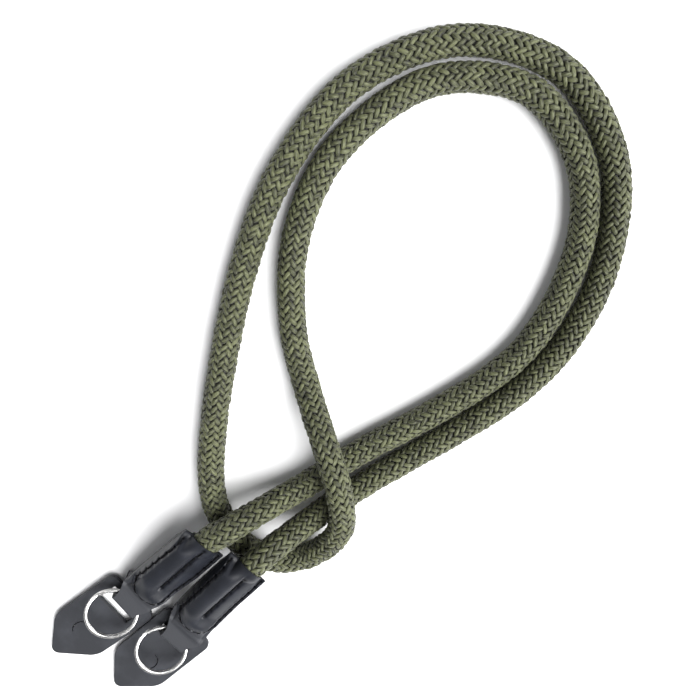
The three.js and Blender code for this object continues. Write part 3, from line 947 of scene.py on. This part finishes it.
class STRAP_OT_sleeves(bpy.types.Operator):
    """The two sewn leather sleeves, each with its folded loop and its thread"""

    bl_idname = "strap.sleeves"
    bl_label = "Sleeves"

    def execute(self, context):
        leather = leather_material("sleeve_leather", colours().sleeve, roughness=0.44, strip=True)
        sewing = plain_material("black_thread", colours().thread, roughness=0.8, scale=2500.0,
                                Specular_IOR_Level=0.1)
        for side in SIDES:
            sleeve = Sleeve(side)
            points = sleeve.surface()
            rows, columns = points.shape[:2]
            faces = grid_faces(rows, columns)
            flat = points.reshape(-1, 3)
            centres = [flat[:columns].mean(0), flat[-columns:].mean(0)]
            hub = rows * columns
            for k in range(columns):
                after = (k + 1) % columns
                faces.append((hub, after, k))
                faces.append((hub + 1, (rows - 1) * columns + k, (rows - 1) * columns + after))
            piece = mesh_object(f"sleeve_leather_{side}", np.vstack([flat, centres]), faces)
            face_out(piece)
            cut(piece, loop_void(side))
            cut(piece, rope_bore(sleeve))
            places = np.array([v.co for v in piece.data.vertices])
            # The hole mask carries the dark marks painted at the needle holes: partly thread, partly
            # painted shade.
            masks = {"strip": sleeve.strip_mask(places), "hole": sleeve.hole_thread_and_shade_mask(places)}
            for name, mask in masks.items():
                attribute = piece.data.attributes.new(name, "FLOAT", "POINT")
                attribute.data.foreach_set("value", mask.astype(np.float32))
            smooth(piece, 40)
            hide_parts(f"sleeve_{side}")
            finish_piece(piece, STRAP_BODY, leather)

            stitches = mesh_object(f"sleeve_thread_{side}", *thread(sleeve, sizes().stitch))
            face_out(stitches)
            smooth(stitches, 60)
            finish_piece(stitches, STRAP_BODY, sewing)
        return {"FINISHED"}


# Pads

def pad_place(side):
    """Where a pad lies: its inner edge at the loop, its point on the ground."""
    end = ENDS[side]
    ahead, left = heading(end["pad_turn"])
    slope = math.asin((BAR_REST - PAD_REST) / (PAD_LENGTH - end["bar_back"]))
    start = fold_place(side) - ahead * end["bar_back"] + left * end["pad_shift"]
    start[2] = PAD_REST + PAD_LENGTH * math.sin(slope)
    turn = Matrix.Rotation(math.radians(end["pad_turn"]), 4, "Z") @ Matrix.Rotation(slope, 4, "Y")
    return Matrix.Translation(Vector(start)) @ turn


def slot_cutter():
    """A block with round corners, for the slot that the loop passes through."""
    deselect()
    middle = (PAD_BAR + SLOT_WIDTH / 2, 0, PAD_THICKNESS / 2)
    bpy.ops.mesh.primitive_cube_add(size=1, location=middle, scale=(SLOT_WIDTH, SLOT_LENGTH, SLOT_BLOCK))
    block = bpy.context.object
    bpy.ops.object.transform_apply(location=True, rotation=True, scale=True)
    bpy.ops.object.mode_set(mode="EDIT")
    bpy.ops.mesh.select_all(action="DESELECT")
    mesh = bmesh.from_edit_mesh(block.data)
    for edge in mesh.edges:
        a, b = (v.co for v in edge.verts)
        edge.select = abs(a.z - b.z) > SLOT_BLOCK / 2
    mesh.select_flush_mode()
    bmesh.update_edit_mesh(block.data)
    bpy.ops.mesh.bevel(offset=SLOT_CORNER, segments=5, affect="EDGES")
    bpy.ops.object.mode_set(mode="OBJECT")
    return block


def slit_cutter(side):
    """A thin curved wall, for the half-moon slit."""
    first, last = (math.radians(a) for a in ENDS[side]["slit"])
    angles = np.linspace(first, last, 28)
    points = []
    for high in SLIT_HEIGHTS:
        for radius in (SLIT_RADIUS - SLIT_WIDTH / 2, SLIT_RADIUS + SLIT_WIDTH / 2):
            points += [(ENDS[side]["slit_at"] + radius * math.cos(a), radius * math.sin(a), high)
                       for a in angles]
    n = len(angles)
    faces = [(0, n, 3 * n, 2 * n), (n - 1, 3 * n - 1, 4 * n - 1, 2 * n - 1)]
    for k in range(n - 1):
        for a, b in ((0, n), (n, 3 * n), (3 * n, 2 * n), (2 * n, 0)):
            faces.append((a + k, a + k + 1, b + k + 1, b + k))
    return closed_cutter("slit_wall", points, faces)


def pad_blank(side):
    """The pad's outline from a plane: a point drawn out of its far edge, then round corners."""
    deselect()
    bpy.ops.mesh.primitive_plane_add(size=1, location=(0, 0, 0))
    pad = bpy.context.object
    pad.name = f"pad_leather_{side}"
    shoulder = PAD_LENGTH - PAD_POINT
    pad.data.transform(Matrix.Diagonal((shoulder, PAD_WIDTH, 1, 1)))
    pad.data.transform(Matrix.Translation((shoulder / 2, 0, 0)))
    bpy.ops.object.mode_set(mode="EDIT")
    bpy.ops.mesh.select_mode(type="EDGE")
    bpy.ops.mesh.select_all(action="DESELECT")
    mesh = bmesh.from_edit_mesh(pad.data)
    for edge in mesh.edges:
        edge.select = all(v.co.x > shoulder - MM for v in edge.verts)
    bmesh.update_edit_mesh(pad.data)
    bpy.ops.mesh.subdivide(number_cuts=1)
    bpy.ops.mesh.select_mode(type="VERT")
    bpy.ops.mesh.select_all(action="DESELECT")
    mesh = bmesh.from_edit_mesh(pad.data)
    for vertex in mesh.verts:
        vertex.select = vertex.co.x > shoulder - MM and abs(vertex.co.y) < MM
    bmesh.update_edit_mesh(pad.data)
    bpy.ops.transform.translate(value=(PAD_POINT + PAD_POINT_CUT, 0, 0))
    bpy.ops.mesh.select_all(action="SELECT")
    bpy.ops.mesh.bevel(offset=PAD_CORNER, segments=8, affect="VERTICES")
    bpy.ops.object.mode_set(mode="OBJECT")
    return pad


class STRAP_OT_pads(bpy.types.Operator):
    """The two leather guard pads, each with a slot, a half-moon slit and a point"""

    bl_idname = "strap.pads"
    bl_label = "Pads"

    def execute(self, context):
        leather = leather_material("pad_leather", colours().pad, roughness=0.62)
        for side in SIDES:
            pad = pad_blank(side)
            apply_modifier(pad, "SOLIDIFY", thickness=PAD_THICKNESS, offset=1)
            face_out(pad)
            cut(pad, slot_cutter())
            cut(pad, slit_cutter(side))
            apply_modifier(pad, "BEVEL", width=sizes().edge, segments=3, limit_method="ANGLE",
                           angle_limit=math.radians(50))
            smooth(pad, 40)
            apply_modifier(pad, "WEIGHTED_NORMAL", keep_sharp=True, weight=100)
            put_in_place(pad, pad_place(side))
            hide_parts(f"pad_{side}")
            finish_piece(pad, STRAP_BODY, leather)
        return {"FINISHED"}


# Rings

def ring_place(side):
    """The ring's middle and tilt, from its pivot in the loop."""
    end = ENDS[side]
    ahead, _ = heading(end["turn"])
    pivot = fold_place(side) - ahead * PIVOT_BACK
    pivot[2] = PIVOT_HEIGHT
    turn = Matrix.Rotation(math.radians(end["turn"]), 4, "Z")
    lift = Matrix.Rotation(-math.radians(RING_LIFT), 4, "Y")
    out = Matrix.Translation((PIVOT_TO_CENTRE, 0, 0)) @ Matrix.Rotation(math.radians(RING_TURN), 4, "Z")
    return Matrix.Translation(Vector(pivot)) @ turn @ lift @ out


class STRAP_OT_rings(bpy.types.Operator):
    """The two split rings, each two turns of flat wire"""

    bl_idname = "strap.rings"
    bl_label = "Rings"

    def execute(self, context):
        nickel = plain_material("nickel", colours().nickel, roughness=0.16, scale=400.0, Metallic=1.0)
        start = math.radians(RING_HALF_JOG + RING_END_GAP)
        sweep = 4 * math.pi - 2 * start
        for side in SIDES:
            deselect()
            bpy.ops.mesh.primitive_plane_add(size=1, location=(0, 0, 0))
            ring = bpy.context.object
            ring.name = f"split_ring_{side}"
            ring.data.transform(Matrix.Diagonal((WIRE_WIDTH, WIRE_HEIGHT, 1, 1)))
            ring.data.transform(Matrix.Rotation(math.pi / 2, 4, "X"))
            bpy.ops.object.mode_set(mode="EDIT")
            bpy.ops.mesh.select_all(action="SELECT")
            bpy.ops.mesh.bevel(offset=WIRE_CORNER, segments=4, affect="VERTICES")
            bpy.ops.object.mode_set(mode="OBJECT")
            ring.data.transform(Matrix.Translation((RING_RADIUS, 0, 0)))
            profile = len(ring.data.vertices)
            bpy.ops.object.mode_set(mode="EDIT")
            bpy.ops.mesh.select_all(action="SELECT")
            bpy.ops.mesh.spin(steps=RING_STEPS, dupli=False, angle=sweep, use_auto_merge=False,
                              center=(0, 0, 0), axis=(0, 0, -1))
            bpy.ops.object.mode_set(mode="OBJECT")
            self.raise_turns(ring, profile, start, sweep)
            face_out(ring)
            put_in_place(ring, ring_place(side))
            smooth(ring, 45)
            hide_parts(f"ring_{side}")
            finish_piece(ring, f"{side}_ring", nickel)
        return {"FINISHED"}

    @staticmethod
    def raise_turns(ring, profile, start, sweep):
        """Lifts the second turn onto the first over the place where the wire crosses over."""
        jog = math.radians(RING_HALF_JOG)
        place = np.array([v.co for v in ring.data.vertices])
        layer = np.arange(len(place)) // profile
        turned = start + sweep * layer / RING_STEPS
        share = ease((turned - (2 * math.pi - jog)) / (2 * jog))
        place[:, 2] += TURN_PITCH * (share - 0.5)
        ring.data.vertices.foreach_set("co", place.ravel())
        ring.data.transform(Matrix.Rotation(start, 4, "Z"))
        ring.data.update()


# Stage

class STRAP_OT_stage(bpy.types.Operator):
    """The camera, the pale floor and the soft lights"""

    bl_idname = "strap.stage"
    bl_label = "Stage"

    def execute(self, context):
        scene = context.scene
        scene.view_settings.view_transform = "Standard"
        lens = bpy.data.cameras.new("camera")
        lens.lens = CAMERA_LENS
        lens.sensor_width = 36
        lens.clip_start = 0.01
        camera = bpy.data.objects.new("camera", lens)
        scene.collection.objects.link(camera)
        ahead = (Vector(CAMERA_TO) - Vector(CAMERA_AT)).normalized()
        up = Vector(PICTURE_RIGHT).cross(ahead).normalized()
        right = ahead.cross(up)
        frame_matrix = Matrix((right, up, -ahead)).transposed().to_4x4()
        camera.matrix_world = Matrix.Translation(CAMERA_AT) @ frame_matrix
        scene.camera = camera

        deselect()
        bpy.ops.mesh.primitive_plane_add(size=FLOOR_SIZE, location=(0, 0, FLOOR_HEIGHT))
        floor = context.object
        floor.name = "floor"
        pale = plain_material("pale_floor", colours().floor, roughness=0.7, scale=3.0)
        floor.data.materials.append(pale)

        self.light("key", "SUN", KEY["place"], energy=KEY["energy"], angle=math.radians(KEY["spread"]))
        self.light("fill", "AREA", FILL["place"], energy=FILL["energy"], shape="DISK", size=FILL["size"])
        world = bpy.data.worlds.new("studio")
        world.use_nodes = True
        n = Nodes(world.node_tree)
        high = n.add("SeparateXYZ", {0: n.add("TexCoord").outputs["Generated"]}).outputs[2]
        height = n.add("MapRange", {0: high, 1: 0.05, 2: 0.75}, interpolation_type="SMOOTHSTEP").outputs[0]
        sky = world.node_tree.nodes["Background"]
        world.node_tree.links.new(n.mix(height, SKY_LOW, SKY_HIGH), sky.inputs["Color"])
        sky.inputs["Strength"].default_value = SKY_STRENGTH
        scene.world = world
        return {"FINISHED"}

    @staticmethod
    def light(name, kind, place, **settings):
        data = bpy.data.lights.new(name, kind)
        for key, value in settings.items():
            setattr(data, key, value)
        light = bpy.data.objects.new(name, data)
        light.location = place
        light.rotation_euler = (-Vector(place)).to_track_quat("-Z", "Y").to_euler()
        bpy.context.scene.collection.objects.link(light)


class STRAP_PT_panel(bpy.types.Panel):
    bl_label = "Camera neck strap"
    bl_idname = "STRAP_PT_panel"
    bl_space_type = "VIEW_3D"
    bl_region_type = "UI"
    bl_category = "Strap"

    def draw(self, context):
        layout = self.layout
        for group in (context.scene.strap_sizes, context.scene.strap_colours):
            box = layout.box()
            for key in group.__annotations__:
                box.prop(group, key)
        for operator in OPERATORS:
            layout.operator(operator.bl_idname)


OPERATORS = (STRAP_OT_stage, STRAP_OT_rope, STRAP_OT_sleeves, STRAP_OT_pads, STRAP_OT_rings)
CLASSES = (StrapSizes, StrapColours, *OPERATORS, STRAP_PT_panel)


def register():
    for cls in CLASSES:
        bpy.utils.register_class(cls)
    bpy.types.Scene.strap_sizes = PointerProperty(type=StrapSizes)
    bpy.types.Scene.strap_colours = PointerProperty(type=StrapColours)


def unregister():
    del bpy.types.Scene.strap_colours
    del bpy.types.Scene.strap_sizes
    for cls in reversed(CLASSES):
        bpy.utils.unregister_class(cls)


def main():
    register()
    bpy.ops.strap.stage()
    bpy.ops.strap.rope()
    bpy.ops.strap.sleeves()
    bpy.ops.strap.pads()
    bpy.ops.strap.rings()


if __name__ == "__main__":
    main()
